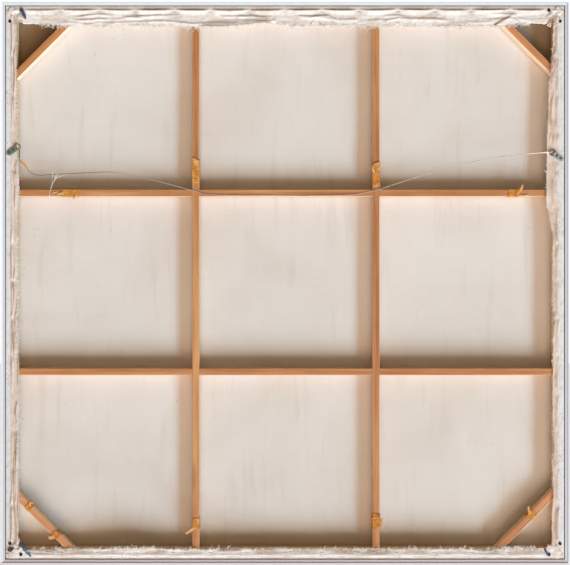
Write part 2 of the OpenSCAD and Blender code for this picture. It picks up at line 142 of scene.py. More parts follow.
class Piece:
    """Vertices in millimetres and faces, gathered part by part."""

    def __init__(self):
        self.verts, self.faces, self.slots, self.tags = [], [], [], []

    def add(self, verts, faces, slot=0, tag=0.0):
        start = len(self.verts)
        self.verts += [tuple(v) for v in verts]
        self.faces += [[start + i for i in f] for f in faces]
        self.slots += [slot] * len(faces)
        self.tags += list(tag) if hasattr(tag, "__len__") else [tag] * len(verts)

    def tube(self, points, radius, sides=8, lobes=0, pitch=8.0, depth=0.0, taper=None, slot=0, tag=0.0):
        p = np.array(points, float)
        tangent = np.gradient(p, axis=0)
        tangent /= np.linalg.norm(tangent, axis=1)[:, None]
        across = np.cross(tangent[0], [0.31, 0.87, 0.38])
        run, verts = 0.0, []
        for i in range(len(p)):
            across = across - tangent[i] * (across @ tangent[i])
            across /= np.linalg.norm(across)
            other = np.cross(tangent[i], across)
            run += np.linalg.norm(p[i] - p[i - 1]) if i else 0.0
            r = radius * (taper(i / (len(p) - 1)) if taper else 1.0)
            for k in range(sides):
                angle = 2 * math.pi * k / sides
                lobe = 1 - depth * (0.5 + 0.5 * math.cos(lobes * (angle + 2 * math.pi * run / pitch / max(lobes, 1))))
                verts.append(p[i] + r * lobe * (math.cos(angle) * across + math.sin(angle) * other))
        faces = [[i * sides + k, i * sides + (k + 1) % sides, (i + 1) * sides + (k + 1) % sides, (i + 1) * sides + k]
                 for i in range(len(p) - 1) for k in range(sides)]
        faces += [list(range(sides))[::-1], [(len(p) - 1) * sides + k for k in range(sides)]]
        self.add(verts, faces, slot, tag)

    def grid(self, points, slot=0, tag=0.0, flip=False):
        rows, cols = points.shape[:2]
        faces = []
        for i in range(rows - 1):
            for j in range(cols - 1):
                f = [i * cols + j, i * cols + j + 1, (i + 1) * cols + j + 1, (i + 1) * cols + j]
                faces.append(f[::-1] if flip else f)
        self.add(points.reshape(-1, 3), faces, slot, np.asarray(tag).ravel() if hasattr(tag, "shape") else tag)

    def build(self, name, materials, body="root", slot=None, smooth_shaded=True, merge=0.0):
        mesh = bpy.data.meshes.new(name)
        mesh.from_pydata([[c * MM for c in v] for v in self.verts], [], self.faces)
        wear = mesh.attributes.new("wear", "FLOAT", "POINT")
        wear.data.foreach_set("value", np.array(self.tags, np.float32))
        mesh.polygons.foreach_set("material_index", self.slots)
        mesh.polygons.foreach_set("use_smooth", [smooth_shaded] * len(self.faces))
        if merge:
            bm = bmesh.new()
            bm.from_mesh(mesh)
            bmesh.ops.remove_doubles(bm, verts=bm.verts, dist=merge * MM)
            bm.to_mesh(mesh)
            bm.free()
        for m in materials:
            mesh.materials.append(m)
        obj = bpy.data.objects.new(name, mesh)
        SCENE.collection.objects.link(obj)
        if body:
            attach(obj, body)
        return obj


def thicken(obj, thickness, inner_slot=0):
    m = obj.modifiers.new("thickness", "SOLIDIFY")
    m.thickness = thickness * MM
    m.offset = 0
    m.material_offset = inner_slot
    m.material_offset_rim = inner_slot


# ---- Materials ----

def rgb(r, g, b):
    def linear(c):
        c /= 255
        return c / 12.92 if c <= 0.04045 else ((c + 0.055) / 1.055) ** 2.4
    return (linear(r), linear(g), linear(b), 1)


class Finish:
    """A procedural material: a Principled shader and the nodes that feed it."""

    def __init__(self, name, roughness=0.7, metallic=0.0, **inputs):
        self.material = bpy.data.materials.new(name)
        self.material.use_nodes = True
        self.tree = self.material.node_tree
        self.shader = self.tree.nodes["Principled BSDF"]
        self.shader.inputs["Roughness"].default_value = roughness
        self.shader.inputs["Metallic"].default_value = metallic
        for key, value in inputs.items():
            self.shader.inputs[key.replace("_", " ")].default_value = value
        self.place = self.node("TexCoord").outputs["Object"]

    def node(self, kind, ins=(), **settings):
        n = self.tree.nodes.new("ShaderNode" + kind)
        for key, value in settings.items():
            setattr(n, key, value)
        for key, value in dict(ins).items():
            if isinstance(value, bpy.types.NodeSocket):
                self.tree.links.new(value, n.inputs[key])
            else:
                n.inputs[key].default_value = value
        return n

    def stretch(self, scale, turn=0.0, shift=(0, 0, 0)):
        """Object coordinates turned about y by degrees, then scaled."""
        turned = self.node("Mapping", {"Vector": self.place, "Rotation": (0, math.radians(turn), 0)})
        return self.node("Mapping", {"Vector": turned.outputs[0], "Scale": scale, "Location": shift}).outputs[0]

    def noise(self, vector, scale=1.0, detail=3.0, roughness=0.5, distortion=0.0):
        return self.node("TexNoise", {"Vector": vector, "Scale": scale, "Detail": detail, "Roughness": roughness,
                                      "Distortion": distortion}).outputs["Fac"]

    def ramp(self, value, stops, smooth_stops=False):
        n = self.node("ValToRGB", {"Fac": value})
        if smooth_stops:
            n.color_ramp.interpolation = "EASE"
        while len(n.color_ramp.elements) < len(stops):
            n.color_ramp.elements.new(0.5)
        for element, (position, colour) in zip(n.color_ramp.elements, stops):
            element.position = position
            element.color = colour if hasattr(colour, "__len__") else (colour, colour, colour, 1)
        return n.outputs["Color"]

    def mix(self, factor, a, b, mode="MIX"):
        n = self.node("Mix", {0: factor, 6: a, 7: b}, data_type="RGBA", blend_type=mode)
        return n.outputs[2]

    def maths(self, operation, a, b=0.0, clamp=False):
        return self.node("Math", {0: a, 1: b}, operation=operation, use_clamp=clamp).outputs[0]

    def step(self, value, low, high):
        """0 up to low, 1 from high on."""
        return self.node("MapRange", {0: value, 1: low, 2: high}).outputs[0]

    def axis(self, name):
        return self.node("SeparateXYZ", {0: self.place}).outputs[name]

    def wear(self):
        return self.node("Attribute", attribute_name="wear").outputs["Fac"]

    def paint(self, colour, height=None, strength=0.3, distance=0.001, roughness=None):
        self.tree.links.new(colour, self.shader.inputs["Base Color"])
        if roughness is not None:
            self.tree.links.new(roughness, self.shader.inputs["Roughness"])
        if height is not None:
            bump = self.node("Bump", {"Height": height, "Strength": strength, "Distance": distance})
            self.tree.links.new(bump.outputs[0], self.shader.inputs["Normal"])
        return self.material


def weave(f, pitch):
    """Height of a plain weave: threads along x and z, each over and under."""
    k = 2 * math.pi / (2 * pitch * MM)
    x, z = f.axis("X"), f.axis("Z")
    wave = lambda v: f.maths("SINE", f.maths("MULTIPLY", v, k))
    return f.maths("MULTIPLY", wave(x), wave(z))


def raw_canvas():
    f = Finish("canvas_raw_side", roughness=0.92, Sheen_Weight=0.05)
    streaks = f.noise(f.stretch((190, 1, 2.2)), 1, 4, 0.65)
    rows = f.noise(f.stretch((2.5, 1, 150)), 1, 3, 0.6)
    blotch = f.noise(f.place, 3.2, 4, 0.55, 0.5)
    base = f.ramp(blotch, [(0.32, rgb(227, 213, 200)), (0.52, rgb(233, 221, 209)), (0.75, rgb(238, 227, 216))])
    base = f.mix(0.07, base, f.ramp(streaks, [(0.32, 0.72), (0.5, 0.96), (0.7, 1.0)]), "MULTIPLY")
    base = f.mix(0.05, base, f.ramp(rows, [(0.3, 0.7), (0.55, 1.0)]), "MULTIPLY")
    runs = f.noise(f.stretch((26, 1, 3.5), 0, (5, 0, 2)), 1, 4, 0.6, 0.3)
    base = f.mix(f.ramp(runs, [(0.56, 0.0), (0.72, 0.30)]), base, rgb(206, 186, 168))
    specks = f.node("TexVoronoi", {"Vector": f.place, "Scale": 46.0, "Randomness": 1.0})
    rare = f.noise(f.place, 17, 2, 0.5)
    dot = f.maths("MULTIPLY", f.ramp(specks.outputs["Distance"], [(0.045, 1.0), (0.12, 0.0)]),
                  f.ramp(rare, [(0.60, 0.0), (0.68, 0.9)]))
    base = f.mix(f.maths("MULTIPLY", dot, 0.55), base, rgb(150, 122, 92))
    # The cloth behind the upper corner braces is painted brown: painted shade, where the corner braces block the low
    # lamps
    across, up = f.axis("X"), f.axis("Z")
    for sign, strength in ((-1, 1.0), (1, 0.85)):
        corner = f.maths("ADD", f.maths("MULTIPLY", across, sign), up)
        base = f.mix(f.maths("MULTIPLY", f.step(corner, 2.075, 2.10), strength), base, rgb(146, 118, 88))
    height = f.maths("ADD", f.maths("MULTIPLY", weave(f, 0.9), 0.25), f.maths("MULTIPLY", streaks, 1.4))
    height = f.maths("ADD", height, f.maths("MULTIPLY", f.noise(f.place, 260, 3, 0.6), 0.6))
    return f.paint(base, height, 0.3, 0.0006)


def primed_canvas():
    f = Finish("canvas_primed_side", roughness=0.8, Sheen_Weight=0.03)
    patch = f.noise(f.place, 26, 4, 0.6, 0.4)
    base = f.ramp(patch, [(0.28, rgb(228, 209, 192)), (0.5, rgb(241, 227, 214)), (0.72, rgb(250, 241, 232))])
    across, up = f.maths("ABSOLUTE", f.axis("X")), f.axis("Z")
    level = f.maths("MULTIPLY", f.step(up, 0.045, 0.055), f.step(up, 1.50, 1.485))
    # Darker on the left and right flaps: painted shade, for the cloth there that the low lamps reach less
    upright = f.maths("MULTIPLY", f.step(across, 0.715, 0.722), level)
    base = f.mix(upright, base, rgb(242, 228, 218), "MULTIPLY")
    drift = f.maths("MULTIPLY", f.noise(f.stretch((8, 8, 14)), 1, 3, 0.6), 0.012)
    outer = f.maths("MULTIPLY", f.step(f.maths("ADD", across, drift), 0.745, 0.759), level)
    base = f.mix(f.maths("MULTIPLY", outer, 0.75), base, rgb(236, 235, 233))
    base = f.mix(f.maths("MULTIPLY", f.step(up, 1.5115, 1.5155), 0.8), base, rgb(242, 224, 207))
    grey = f.noise(f.place, 60, 3, 0.6)
    base = f.mix(f.ramp(grey, [(0.50, 0.0), (0.72, 0.55)]), base, rgb(204, 184, 166))
    fleck = f.noise(f.place, 210, 3, 0.7)
    zone = f.noise(f.stretch((9, 9, 9), 0, (3, 1, 2)), 1, 2, 0.5)
    dirt = f.maths("MULTIPLY", f.ramp(fleck, [(0.58, 0.0), (0.68, 1.0)]), f.ramp(zone, [(0.46, 0.0), (0.60, 0.85)]))
    base = f.mix(dirt, base, rgb(150, 120, 96))
    # Dark brown where the per-point mark read here is high: painted shade on the creased sides of the pleats, in the
    # folds and in the hollows of the corner tabs, and real soiling specks along the cut edge
    worn_and_shaded = f.wear()
    base = f.mix(f.maths("MULTIPLY", worn_and_shaded, 0.9, True), base, rgb(132, 92, 74))
    height = f.maths("ADD", f.maths("MULTIPLY", weave(f, 0.9), 0.2), f.noise(f.place, 180, 4, 0.65))
    return f.paint(base, height, 0.35, 0.0008)


def gesso():
    """The bare primed face: a matt off-white ground with broad brush marks and the weave showing through."""
    f = Finish("canvas_primed_face", roughness=0.85)
    across = f.noise(f.stretch((5, 1, 60)), 1, 4, 0.6, 0.3)
    up = f.noise(f.stretch((60, 1, 5)), 1, 4, 0.6, 0.3)
    broad = f.noise(f.place, 2.0, 3, 0.5)
    strokes = f.mix(f.ramp(broad, [(0.45, 0.0), (0.55, 1.0)]), across, up)
    base = f.ramp(strokes, [(0.3, rgb(240, 238, 233)), (0.7, rgb(246, 245, 241))])
    height = f.maths("ADD", f.maths("MULTIPLY", weave(f, 0.9), 0.25), f.maths("MULTIPLY", strokes, 2.0))
    return f.paint(base, height, 0.3, 0.0006)


def wood(name, turn, dark, mid, light, shade=None, knots=2.2, seed=0.0, side=None):
    """Planed softwood with its grain along z turned by degrees about y."""
    f = Finish(name, roughness=0.62, Coat_Weight=0.04)
    lines = f.noise(f.stretch((95, 95, 2.6), turn, (seed, seed, seed)), 1, 5, 0.62, 0.25)
    fibre = f.noise(f.stretch((520, 520, 11), turn, (seed, 0, seed)), 1, 3, 0.6)
    patch = f.noise(f.stretch((9, 9, 3.2), turn, (0, seed, seed)), 1, 3, 0.55)
    base = f.ramp(lines, [(0.30, dark), (0.46, mid), (0.56, light), (0.72, mid)])
    base = f.mix(f.ramp(patch, [(0.38, 0.55), (0.62, 0.0)]), base, dark)
    base = f.mix(f.ramp(patch, [(0.55, 0.0), (0.8, 0.5)]), base, light)
    base = f.mix(0.35, base, f.ramp(fibre, [(0.35, 0.62), (0.6, 1.0)]), "MULTIPLY")
    cells = f.node("TexVoronoi", {"Vector": f.stretch((knots * 4, knots * 4, knots), turn, (seed, 0.3, seed)), "Scale": 1.0})
    knot = f.ramp(cells.outputs["Distance"], [(0.035, 1.0), (0.075, 0.55), (0.14, 0.0)])
    base = f.mix(f.maths("MULTIPLY", knot, 0.8), base, rgb(104, 56, 28))
    if shade:
        base = f.mix(1.0, base, f.ramp(f.maths("DIVIDE", f.axis("Z"), 1.534), shade), "MULTIPLY")
    # Side faces paler and creamier than the back face: painted light, for the sides that the low lamps catch
    if side:
        painted_light_side = f.mix(0.25, side, base)
        base = f.mix(f.maths("MULTIPLY", f.step(f.axis("Y"), -0.01665, -0.0162), 0.9), base, painted_light_side)
    height = f.maths("ADD", f.maths("MULTIPLY", lines, 0.8), fibre)
    return f.paint(base, height, 0.3, 0.0008)


def metal(name, colour, dull, roughness=0.4, metallic=1.0, brush=(30, 30, 30), scale=1.0, spot=0.35, painted_edge=None):
    f = Finish(name, roughness=roughness, metallic=metallic)
    brushed = f.noise(f.stretch(brush), scale, 4, 0.65)
    cloud = f.noise(f.place, 38, 4, 0.6)
    base = f.mix(f.ramp(cloud, [(0.40, 0.0), (0.75, spot)]), colour, dull)
    base = f.mix(0.25, base, f.ramp(brushed, [(0.3, 0.7), (0.65, 1.0)]), "MULTIPLY")
    # A band of another tone along one outer edge: a painted highlight on the left strip, painted shade on the right
    # strip and a painted shadow along the bottom strip
    if painted_edge:
        axis, low, high, tone = painted_edge
        base = f.mix(f.step(f.axis(axis), low, high), base, tone)
    rough = f.maths("ADD", f.maths("MULTIPLY", cloud, 0.22), roughness - 0.11)
    return f.paint(base, brushed, 0.18, 0.0003, rough)


def galvanised_wire():
    """Twisted steel wire, dull and dark at its left end and bright towards the right."""
    f = Finish("galvanised_wire", roughness=0.5, metallic=0.5)
    cloud = f.noise(f.place, 60, 4, 0.6)
    bright = f.ramp(cloud, [(0.4, rgb(196, 188, 180)), (0.7, rgb(160, 150, 142))])
    dull = f.ramp(cloud, [(0.4, rgb(84, 80, 78)), (0.7, rgb(112, 104, 96))])
    base = f.mix(f.step(f.axis("X"), -0.52, -0.44), dull, rgb(176, 160, 144))
    base = f.mix(f.step(f.axis("X"), -0.40, -0.35), base, bright)
    base = f.mix(f.step(f.axis("X"), 0.655, 0.67), base, rgb(252, 240, 222))
    return f.paint(base, cloud, 0.2, 0.0003)


def masking_tape():
    f = Finish("aged_masking_tape", roughness=0.42, Subsurface_Weight=0.0, Coat_Weight=0.1)
    crumple = f.noise(f.place, 120, 4, 0.65, 0.8)
    blot = f.noise(f.place, 48, 3, 0.5)
    base = f.ramp(crumple, [(0.32, rgb(164, 86, 16)), (0.5, rgb(202, 124, 32)), (0.68, rgb(226, 154, 56))])
    base = f.mix(f.ramp(blot, [(0.5, 0.0), (0.7, 0.45)]), base, rgb(196, 138, 46))
    base = f.mix(f.maths("MULTIPLY", f.wear(), 0.8), base, rgb(238, 206, 148))
    return f.paint(base, crumple, 0.5, 0.0015)


def plain(name, low, high, roughness=0.7, scale=200.0, strength=0.4, metallic=0.0):
    f = Finish(name, roughness=roughness, metallic=metallic)
    grain = f.noise(f.place, scale, 4, 0.6)
    return f.paint(f.ramp(grain, [(0.3, low), (0.7, high)]), grain, strength, 0.0005)


WOOD_TONES = (rgb(178, 104, 54), rgb(208, 140, 84), rgb(226, 162, 104))
UPRIGHT_SHADE = [(0.0, rgb(255, 255, 255)), (0.35, rgb(255, 255, 255)), (0.5, rgb(244, 240, 236)), (0.72, rgb(232, 226, 218)), (1.0, rgb(232, 216, 200))]
CROSS_SHADE = [(0.30, rgb(255, 255, 255)), (0.62, rgb(246, 244, 240))]
RAW = raw_canvas()
PRIMED = primed_canvas()
GESSO = gesso()
# The side= colours below are painted light on the braces' side faces
UPRIGHT_WOOD = wood("upright_pine", 0, *WOOD_TONES, shade=UPRIGHT_SHADE, seed=1.7, side=rgb(232, 190, 150))
CROSS_WOOD = wood("cross_pine", 90, *WOOD_TONES, shade=CROSS_SHADE, seed=4.1, side=rgb(224, 184, 148))
FALLING_WOOD = wood("corner_pine_falling", 45, rgb(204, 130, 80), rgb(230, 164, 112), rgb(242, 184, 134), [(0.1, 1.0), (0.8, rgb(236, 220, 208))], seed=2.3, side=rgb(255, 232, 200))
RISING_WOOD = wood("corner_pine_rising", -45, rgb(180, 104, 52), rgb(210, 138, 82), rgb(226, 160, 104), seed=7.9, side=rgb(255, 232, 200))
BAR_WOOD_X = wood("bar_pine_level", 90, rgb(206, 160, 112), rgb(226, 190, 146), rgb(238, 208, 168), seed=5.2)
BAR_WOOD_Z = wood("bar_pine_upright", 0, rgb(206, 160, 112), rgb(226, 190, 146), rgb(238, 208, 168), seed=6.4)
PLYWOOD = wood("spline_plywood", 90, rgb(190, 150, 104), rgb(214, 178, 130), rgb(226, 194, 150), knots=0.5, seed=3.3)
# Four copies of one brushed metal, each toned for how light falls on its side: painted light on the top strip and
# painted shade on the bottom strip, with painted edge bands
STRIP_TOP = metal("brushed_strip_top", rgb(228, 234, 240), rgb(208, 214, 222), 0.36, 0.85, (3, 260, 260))
STRIP_BOTTOM = metal("brushed_strip_bottom", rgb(204, 192, 192), rgb(176, 162, 162), 0.36, 0.85, (3, 260, 260),
                     painted_edge=("Z", 0.0052, 0.0036, rgb(128, 116, 118)))
STRIP_LEFT = metal("brushed_strip_left", rgb(212, 220, 229), rgb(194, 202, 212), 0.36, 0.85, (260, 260, 3),
                   painted_edge=("X", -0.7700, -0.7712, rgb(246, 242, 250)))
STRIP_RIGHT = metal("brushed_strip_right", rgb(208, 208, 212), rgb(190, 190, 198), 0.36, 0.85, (260, 260, 3),
                    painted_edge=("X", 0.7696, 0.7704, rgb(178, 178, 186)))
KEY_METAL = metal("key_metal", rgb(190, 190, 192), rgb(150, 150, 150), 0.5)
STEEL = metal("screw_steel", rgb(150, 146, 140), rgb(96, 88, 80), 0.4)
BLACK_STEEL = metal("blackened_steel", rgb(34, 32, 36), rgb(58, 50, 52), 0.45, 0.6)
STRAP_LEFT = metal("dull_strap", rgb(124, 132, 118), rgb(78, 84, 76), 0.5, 0.4, spot=0.9)
STRAP_RIGHT = metal("plated_strap", rgb(164, 170, 166), rgb(112, 118, 114), 0.45, 0.5, spot=0.9)
DARK_SCREW = metal("dark_screw", rgb(84, 78, 72), rgb(48, 42, 38), 0.5, 0.5)
RING_STEEL = metal("dark_ring", rgb(70, 66, 66), rgb(44, 40, 40), 0.42, 0.6, spot=0.8)
WIRE_STEEL = galvanised_wire()
STAPLE_STEEL = metal("staple_steel", rgb(206, 198, 190), rgb(164, 146, 130), 0.5, 0.3)
TAPE = masking_tape()
STRING = plain("cotton_string", rgb(240, 232, 220), rgb(255, 252, 246), 0.9, 900)
FIBRE = plain("frayed_fibre", rgb(240, 228, 210), rgb(255, 252, 244), 0.9, 300)

LOOKS = {
    "frame_strip_top": STRIP_TOP, "frame_strip_bottom": STRIP_BOTTOM,
    "frame_strip_left": STRIP_LEFT, "frame_strip_right": STRIP_RIGHT,
    "frame_corner_keys": KEY_METAL, "frame_screws": STEEL,
    "stretcher_bar_top": BAR_WOOD_X, "stretcher_bar_bottom": BAR_WOOD_X,
    "stretcher_bar_left": BAR_WOOD_Z, "stretcher_bar_right": BAR_WOOD_Z, "corner_splines": PLYWOOD,
    "upright_brace_left": UPRIGHT_WOOD, "upright_brace_right": UPRIGHT_WOOD,
    "cross_brace_upper": CROSS_WOOD, "cross_brace_lower": CROSS_WOOD,
    "corner_brace_top_left": RISING_WOOD, "corner_brace_bottom_right": RISING_WOOD,
    "corner_brace_top_right": FALLING_WOOD, "corner_brace_bottom_left": FALLING_WOOD,
    "brace_screws": STEEL, "corner_brace_screws": STEEL, "canvas_staples": STAPLE_STEEL,
    "corner_screws": BLACK_STEEL, "hanger_strap_left": STRAP_LEFT, "hanger_strap_right": STRAP_RIGHT,
    "hanger_screws": DARK_SCREW, "d_ring_left": RING_STEEL, "d_ring_right": RING_STEEL,
}
for name, look in LOOKS.items():
    NODES[name].data.materials.clear()
    NODES[name].data.materials.append(look)

# ---- The hanging wire and its ends ----

WIRE_ROUTE = [
    (-724, -19, 1100), (-701, -18.5, 1074), (-694, -18.3, 1067), (-684, -18.2, 1062), (-668, -18, 1060),
    (-641, -18, 1062), (-600, -18, 1064), (-560, -18, 1066), (-518, -18, 1068),
    (-478, -18, 1069), (-430, -18, 1062), (-382, -18, 1052), (-314, -18, 1035),
    (-254, -18, 1019), (-218, -18, 1009), (-164, -18, 1006), (-95, -18, 1005),
    (-30, -18, 1005), (40, -18, 1004), (109, -18, 1005), (164, -18, 1006),
    (205, -18, 1010), (259, -18, 1022), (314, -18, 1040), (368, -18, 1057),
    (423, -18, 1074), (478, -18, 1089), (532, -18, 1101), (587, -18, 1110),
    (628, -18.5, 1115), (669, -19.5, 1119), (696, -20.5, 1121),
]
LEFT_END = [(-724, -19, 1100), (-726, -19.5, 1110), (-725.5, -20.5, 1120), (-725.5, -21, 1130)]
RIGHT_END = [(696, -20.5, 1121), (721.5, -21, 1123)]
LEFT_BOW, RIGHT_BOW = (-730.8, -21.05, 1138.05), (730.8, -21.05, 1122.05)
BOW_R = 7.5


def wire_end(name, standing, bow, node):
    """The wire's last stretch: up to the ring, once round it, and the tail wound back down the wire."""
    bow, tip = np.array(bow), np.array(standing[-1], float)
    out = tip - bow
    out[1] = 0
    out /= np.linalg.norm(out)
    hub = bow + out * BOW_R
    turn = [hub + 2.3 * (math.cos(a) * out + math.sin(a) * np.array([0, -1, 0])) for a in np.linspace(0, 2 * math.pi, 14)]
    line, length = resample([*standing[:-1], *turn[:1]], 1.2)
    p = Piece()
    loop = np.vstack([line, np.array(turn[1:])])
    loop, _ = resample(loop, 1.0, False)
    p.tube(loop, WIRE_D / 2, 8, 3, 9.0, 0.28)
    wound, axis = [], line[::-1]
    turns, reach = 5.5, min(20.0, length - 4)
    run = np.concatenate([[0], np.cumsum(np.linalg.norm(np.diff(axis, axis=0), axis=1))])
    for t in np.linspace(0, 1, 110):
        at = 1.5 + t * reach
        c = np.array([np.interp(at, run, axis[:, k]) for k in range(3)])
        way = np.array([np.interp(at + 1, run, axis[:, k]) for k in range(3)]) - c
        way /= np.linalg.norm(way)
        a = np.cross(way, [0, 1, 0])
        a /= np.linalg.norm(a)
        b = np.cross(way, a)
        angle = 2 * math.pi * turns * t
        wound.append(c + 1.55 * (math.cos(angle) * a + math.sin(angle) * b))
    wound.append(wound[-1] + 3.0 * a + 1.0 * way)
    wound, _ = resample(wound, 0.9, False)
    p.tube(wound, 0.7, 6)
    obj = p.build(name, [WIRE_STEEL], None, "wire_steel")
    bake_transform(obj)
    return obj


left_loop = wire_end("wire_loop_left", LEFT_END, LEFT_BOW, "d_ring_left")
right_loop = wire_end("wire_loop_right", RIGHT_END, RIGHT_BOW, "d_ring_right")
wire_line, wire_length = resample(WIRE_ROUTE, 1.3)
wire = Piece()
wire.tube(wire_line, WIRE_D / 2, 9, 3, 9.0, 0.28)
wire = wire.build("hanging_wire_twisted", [WIRE_STEEL], "root", "wire_steel")
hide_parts("hanging_wire")


def wind(line, clear, layers, seed, around=14):
    """Crumpled tape wound about a line, in millimetres."""
    p = Piece()
    n = len(line)
    for layer in range(layers):
        way = np.gradient(line, axis=0)
        way /= np.linalg.norm(way, axis=1)[:, None]
        a = np.cross(way, [0, 1, 0])
        a /= np.linalg.norm(a, axis=1)[:, None]
        b = np.cross(way, a)
        rows = []
        for k in range(around + 1):
            angle = 2 * math.pi * k / around
            t = np.arange(n)
            r = clear + 0.45 * layer + 0.55 * noise2(t / 2.1, (k % around) / 1.9, seed + layer) ** 2
            rows.append(line + r[:, None] * (math.cos(angle) * a + math.sin(angle) * b))
        p.grid(np.array(rows), tag=0.25 * layer)
    return p


sleeve_line, _ = resample([np.array(WIRE_ROUTE[0]) * 0.97 + np.array(WIRE_ROUTE[1]) * 0.03,
                           np.array(WIRE_ROUTE[0]) * 0.03 + np.array(WIRE_ROUTE[1]) * 0.97], 1.5)
sleeve = wind(sleeve_line, 1.5, 2, 31)
lip = np.array([[sleeve_line[i] + np.array([1.6 + 3.4 * k / 5, -0.8 - 0.25 * k, 0.4 * k + 1.2 * noise1(i / 3.0, 33)])
                 for i in range(4, len(sleeve_line) - 5)] for k in range(6)])
sleeve.grid(lip, tag=0.5)
sleeve = sleeve.build("wire_tape_wound", [TAPE], "root", "masking_tape")
thicken(sleeve, 0.25)
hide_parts("wire_tape_sleeve")

# ---- The string round the cross brace ----

STRING_ROUTE = [
    (-600, -20.5, 1061), (-614, -21, 1057), (-624, -20.5, 1052), (-630, -20, 1058),
    (-634, -20.3, 1062.4), (-635, -18, 1064.7), (-636, -15.7, 1062.4), (-637, -15, 1045),
    (-638, -15, 1026), (-639, -10, 1022.6), (-640, 10, 1022.6), (-641, 15.6, 1022.7),
    (-641, 16.5, 1021.8), (-642, 16.5, 1002.2), (-643, 15.6, 1001.3), (-643, -10, 1001.4),
    (-644, -15.5, 1001.3), (-644, -17.8, 1003.2), (-642, -17.8, 1022), (-634, -18.6, 1040),
    (-626, -22.2, 1050), (-618, -22.5, 1066),
]
string_line, _ = resample(chaikin(STRING_ROUTE), 1.2, False)
string = Piece()
string.tube(string_line, STRING_D / 2, 6, 3, 4.0, 0.25)
string = string.build("cotton_string_tie", [STRING], "root", "string")
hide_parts("string_tie")
knot = Piece()
ring = [(-630.4 + 5.6 * math.sin(a), -20.9 - 0.8 * math.cos(2 * a), 1064.4 + 8.0 * math.cos(a)) for a in np.linspace(0, 2 * math.pi, 60)]
ball = [(-627 + 2.4 * math.sin(2.0 * a), -21.4 - 0.9 * math.sin(3 * a), 1054 + 2.6 * math.cos(3 * a)) for a in np.linspace(0, 2 * math.pi, 60)]
bit = [(-637, -18.2, 1008), (-632, -18.8, 1012), (-626, -18.6, 1013), (-620, -18.4, 1016)]
for line in (ring, ball, resample(bit, 1.2)[0]):
    knot.tube(line, STRING_D / 2, 6, 3, 4.0, 0.25)
knot = knot.build("string_knot", [STRING], "root", "string")

# ---- The canvas ----

SIDES = {
    "top": ((1, 0), (0, -1), (0, HIGH_Z), HALF_X),
    "bottom": ((1, 0), (0, 1), (0, LOW_Z), HALF_X),
    "left": ((0, 1), (1, 0), (-HALF_X, MID_Z), HALF_Z),
    "right": ((0, 1), (-1, 0), (HALF_X, MID_Z), HALF_Z),
}
EARLY_ROWS = (0.35, 1.2, 2.6, 4.2, 5.6, 6.8, 7.8, 8.8, 9.8, 10.8, 12.0, 13.4)


def flap_width(side, s):
    """Width of the cloth folded onto the back, before fraying."""
    if side == "top":
        w = 53.5 + 2.0 * noise1(s / 90, 61) + 3.5 * np.exp(-((s + 245) / 60) ** 2) - 8.0 * np.exp(-((s + 62) / 55) ** 2)
        return w - 6.0 * smooth(s, 600, 700) - 5.0 * smooth(-s, 600, 740)
    if side == "bottom":
        return 26.5 + 1.5 * noise1(s / 60, 62) + 5.0 * np.exp(-((s + 430) / 70) ** 2) + 4.5 * smooth(s, 560, 640)
    z = s + MID_Z
    if side == "left":
        return np.interp(z, [12, 90, 200, 330, 420, 600, 700, 900, 960, 1040, 1100, 1130, 1300, 1522],
                         [32, 33.5, 36, 34.5, 36.5, 34, 33, 30.5, 30, 37, 35, 28.5, 28.5, 28]) + 1.0 * noise1(s / 40, 63)
    return np.interp(z, [12, 60, 120, 860, 900, 951, 1006, 1130, 1200, 1347, 1388, 1456, 1522],
                     [36, 34, 31.5, 31.6, 32.5, 40, 49.4, 48, 46, 40.7, 37, 31.6, 31]) + 0.8 * noise1(s / 50, 64)


def ridge(d, crest, rise, fall):
    """A pleat: ever steeper up to the crest on the outer side, even down on the inner side."""
    x = d - crest
    return np.where(x < 0, np.clip(1 + x / rise, 0, 1) ** 1.8, np.clip(1 - x / fall, 0, 1) ** 1.25)


